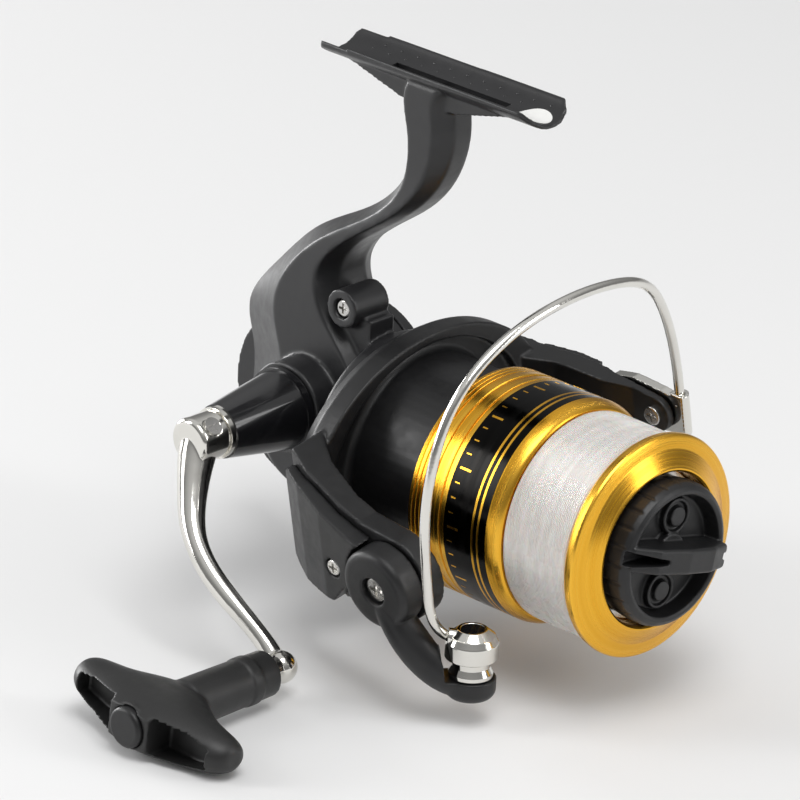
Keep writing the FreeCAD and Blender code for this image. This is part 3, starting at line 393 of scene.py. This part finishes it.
def foot_label():
    """Blank oval label near the front end of the foot."""
    bm = bmesh.new()
    rings, spokes = 6, 40
    angles = [2 * math.pi * k / spokes for k in range(spokes)]
    sheets = []
    for lift in LABEL_LIFTS:
        sheet = [[bm.verts.new(on_saddle(LABEL_X, 0, lift))]]
        for i in range(1, rings + 1):
            length, width = LABEL_HALF_LENGTH * i / rings, LABEL_HALF_WIDTH * i / rings
            sheet.append([bm.verts.new(on_saddle(LABEL_X + length * math.cos(a), width * math.sin(a), lift))
                          for a in angles])
        sheets.append(sheet)
        for i in range(rings):
            for k in range(spokes):
                n = (k + 1) % spokes
                if i == 0:
                    bm.faces.new((sheet[0][0], sheet[1][k], sheet[1][n]))
                else:
                    bm.faces.new((sheet[i][k], sheet[i + 1][k], sheet[i + 1][n], sheet[i][n]))
    low, high = sheets[0][-1], sheets[1][-1]
    for k in range(spokes):
        n = (k + 1) % spokes
        bm.faces.new((low[k], low[n], high[n], high[k]))
    new_piece("foot_label", bm, "paper", "housing", 40.0)


def cut_foot(x0, x1, half, floor):
    """Cut a long hollow into the saddle with a cutter that doesn't show."""
    bm = bmesh.new()
    size = Matrix.Diagonal(((x1 - x0) * MM, 2 * half * MM, HOLLOW_CUT_HEIGHT * MM, 1.0))
    middle = Vector(((x0 + x1) / 2, 0, floor + HOLLOW_CUT_HEIGHT / 2)) * MM
    bmesh.ops.create_cube(bm, size=1.0, matrix=Matrix.Translation(middle) @ size)
    bmesh.ops.recalc_face_normals(bm, faces=bm.faces)
    mesh = bpy.data.meshes.new("foot_hollow")
    bm.to_mesh(mesh)
    bm.free()
    cutter = bpy.data.objects.new("foot_hollow", mesh)
    bpy.context.scene.collection.objects.link(cutter)
    cutter.hide_render = True
    cutter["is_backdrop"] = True
    hollow = NODES["body_frame"].modifiers.new("foot_hollow", "BOOLEAN")
    hollow.operation = "DIFFERENCE"
    hollow.object = cutter
    hollow.solver = "EXACT"


foot_pips()
foot_label()

# ---- finishes of the CAD nodes -----------------------------------------------------------------
for part in frame["record"]["subparts"]:
    finish_with(NODES[part["node"]], part["material_slot"])


def soften(node, voxel, turns):
    """Round the edges of a cast or moulded CAD node, as its mould does."""
    obj = NODES[node]
    remesh = obj.modifiers.new("skin", "REMESH")
    remesh.mode = "VOXEL"
    remesh.voxel_size = voxel * MM
    remesh.use_smooth_shade = True
    smooth = obj.modifiers.new("round", "SMOOTH")
    smooth.factor = 0.5
    smooth.iterations = turns


# node, voxel in mm, turns of smoothing
ROUNDED = (("body_frame", 0.42, 5), ("rotor", 0.36, 4), ("near_arm_cover", 0.3, 6), ("far_arm_cover", 0.3, 6),
           ("bail_arm", 0.28, 5), ("knob", 0.3, 5), ("drag_knob", 0.22, 3), ("crank_arm", 0.26, 4),
           ("side_cover", 0.36, 3), ("far_bail_holder", 0.2, 3), ("roller_cap", 0.16, 2))
for node, voxel, turns in ROUNDED:
    soften(node, voxel, turns)
for sizes in FOOT_HOLLOWS:
    cut_foot(*sizes)


# ---- floor, light and camera ---------------------------------------------------------------------
def backdrop():
    """Pale floor just under the reel."""
    s = Shader("pale_floor", (0.80, 0.80, 0.80), 0.9)
    s.color(s.noise(3.0), (0.80, 0.80, 0.80), (0.79, 0.79, 0.79))
    bpy.ops.mesh.primitive_plane_add(size=12.0, location=(0, 0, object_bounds()[0].z - 0.3 * MM))
    floor = bpy.context.object
    floor.name = "floor"
    floor.data.materials.append(s.mat)
    floor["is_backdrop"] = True


def softbox(name, place, target, size, power):
    """Rectangular area light at place that faces target."""
    light = bpy.data.lights.new(name, "AREA")
    light.shape = "RECTANGLE"
    light.size, light.size_y = size
    light.energy = power
    obj = bpy.data.objects.new(name, light)
    obj.location = place
    obj.rotation_euler = (Vector(place) - Vector(target)).to_track_quat("Z", "Y").to_euler()
    bpy.context.scene.collection.objects.link(obj)


def studio():
    """Soft lights, and a surround that is bright above and dim at the horizon."""
    centre = (CAD_LO + CAD_HI) / 2
    softbox("key", (0.45, -0.25, 1.1), centre, (0.7, 0.7), 8.0)
    softbox("left_low", (-1.15, -0.10, 0.02), centre, (0.5, 0.5), 9.0)
    softbox("left_rear", (-0.95, -0.95, 0.45), centre, (0.35, 0.9), 7.0)
    softbox("right", (1.0, 0.55, 0.35), centre, (0.35, 0.8), 3.5)
    world = bpy.data.worlds.new("studio")
    world.use_nodes = True
    tree = world.node_tree
    back = tree.nodes["Background"]
    back.inputs["Strength"].default_value = 0.62
    height = tree.nodes.new("ShaderNodeSeparateXYZ")
    tree.links.new(tree.nodes.new("ShaderNodeTexCoord").outputs["Generated"], height.inputs[0])
    ramp = tree.nodes.new("ShaderNodeValToRGB")
    tree.links.new(height.outputs["Z"], ramp.inputs[0])
    tree.links.new(ramp.outputs[0], back.inputs["Color"])
    stops = ((0.0, 0.75), (0.12, 0.30), (0.45, 0.45), (0.8, 1.0))
    ramp.color_ramp.elements.remove(ramp.color_ramp.elements[1])
    ramp.color_ramp.elements[0].color = (stops[0][1],) * 3 + (1.0,)
    for place, level in stops[1:]:
        ramp.color_ramp.elements.new(place).color = (level, level, level, 1.0)
    bpy.context.scene.world = world


AZIMUTH, ELEVATION, ROLL = (math.radians(a) for a in (43.65, 22.75, 2.28))
LOOK_AT = Vector((0.0144, -0.0301, -0.0679))
DISTANCE = 1.382
LENS = 288.2


def camera():
    """Long-lens camera that looks down at the spool's front from the crank's side."""
    cam = bpy.data.cameras.new("camera")
    cam.lens = LENS
    cam.sensor_width = 36.0
    cam.clip_start, cam.clip_end = 0.05, 20.0
    obj = bpy.data.objects.new("camera", cam)
    back = Vector((math.sin(AZIMUTH) * math.cos(ELEVATION), -math.cos(AZIMUTH) * math.cos(ELEVATION),
                   math.sin(ELEVATION)))
    right = Vector((math.cos(AZIMUTH), math.sin(AZIMUTH), 0.0))
    up = back.cross(right)
    right, up = (math.cos(ROLL) * right + math.sin(ROLL) * up, math.cos(ROLL) * up - math.sin(ROLL) * right)
    turn = Matrix((right, up, back)).transposed()
    obj.matrix_world = Matrix.Translation(LOOK_AT + back * DISTANCE) @ turn.to_4x4()
    bpy.context.scene.collection.objects.link(obj)
    bpy.context.scene.camera = obj


backdrop()
studio()
camera()
bpy.context.scene.view_settings.view_transform = "Standard"
